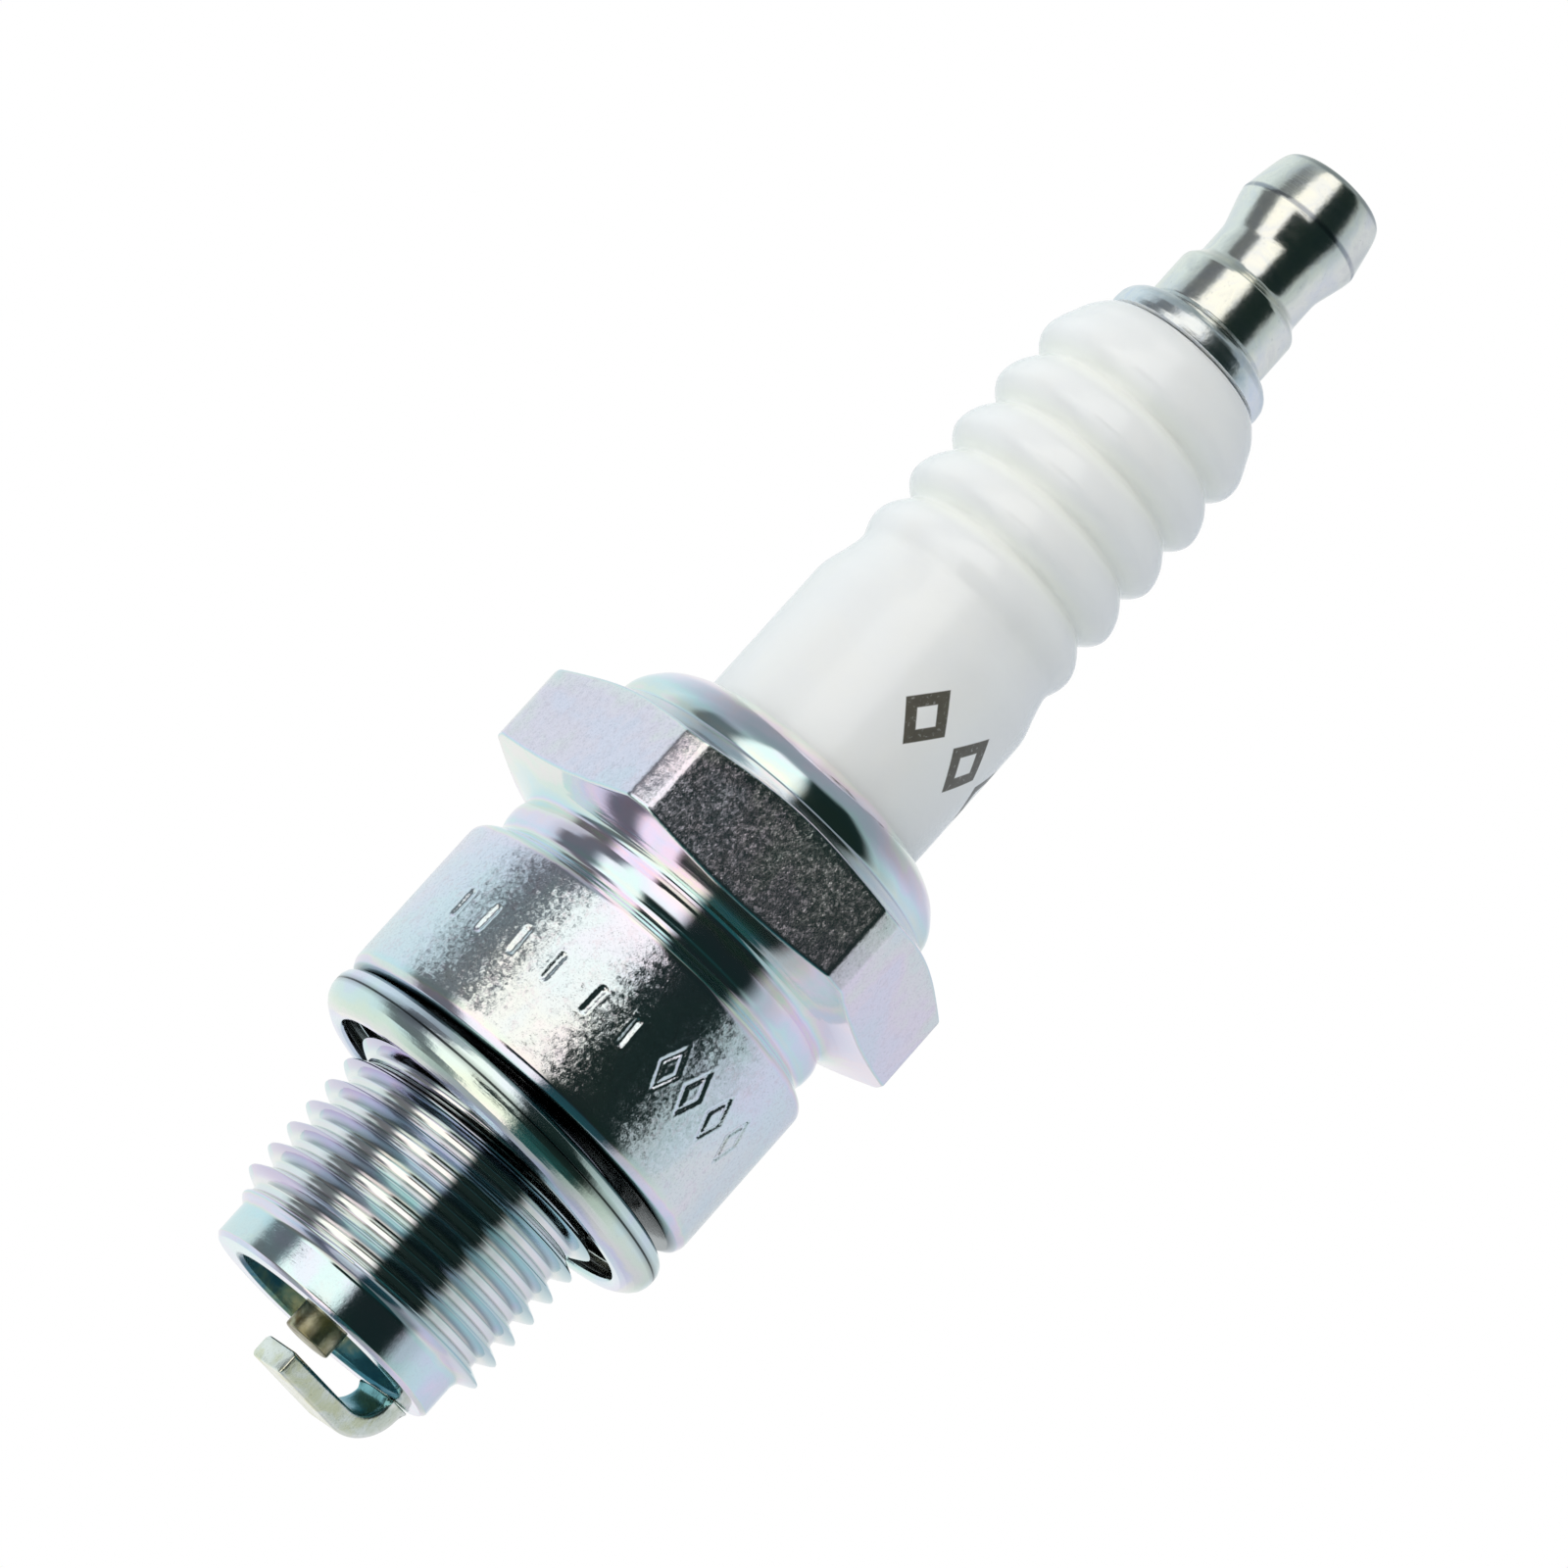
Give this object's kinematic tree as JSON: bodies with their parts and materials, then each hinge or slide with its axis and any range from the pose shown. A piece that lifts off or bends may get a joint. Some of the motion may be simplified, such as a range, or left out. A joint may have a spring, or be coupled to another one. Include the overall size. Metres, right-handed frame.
{
  "type": "spark plug",
  "caption": "Spark plug with a ribbed ceramic insulator, hexagonal plated shell, M14 thread, folded gasket, side electrode and a screw-on terminal nut.",
  "frame": {"origin": "on the plug's axis, level with the underside of the ground electrode, which is the bottom of the bounding box; the seat plane of the shell is 15.5 mm above it", "axes": "+Z along the plug's axis towards the terminal; two flats of the hexagon face +Y and -Y; the foot of the ground electrode stands 32 degrees from +X towards +Y"},
  "size_m": [0.0232, 0.0208, 0.0727],
  "materials": {
    "shell_plating": "polished",
    "glazed_ceramic": "gloss",
    "terminal_plating": "polished",
    "stud_steel": "satin",
    "gasket_metal": "gloss",
    "strap_nickel": "satin",
    "electrode_nickel": "satin",
    "copper": "satin",
    "conductive_glass": "matte",
    "talc": "matte",
    "ring_steel": "satin"
  },
  "bodies": {
    "plug_body": {"metal_shell": "shell_plating", "insulator": "glazed_ceramic", "terminal_stud": "stud_steel", "ground_electrode": "strap_nickel", "centre_electrode": "electrode_nickel", "copper_core": "copper", "glass_seal": "conductive_glass", "talc_fill": "talc", "upper_packing_ring": "ring_steel", "lower_packing_ring": "ring_steel", "inner_seat_washer": "ring_steel"},
    "nut_body": {"terminal_nut": "terminal_plating"},
    "gasket_body": {"gasket": "gasket_metal"}
  },
  "joints": [
    {"name": "terminal_nut_unscrew", "type": "slide", "parent": "plug_body", "child": "nut_body", "axis": [0, 0, 1], "range_m": [0, 0.008]},
    {"name": "gasket_float", "type": "slide", "parent": "plug_body", "child": "gasket_body", "axis": [0, 0, -1], "range_m": [0, 0.0009]}
  ]
}
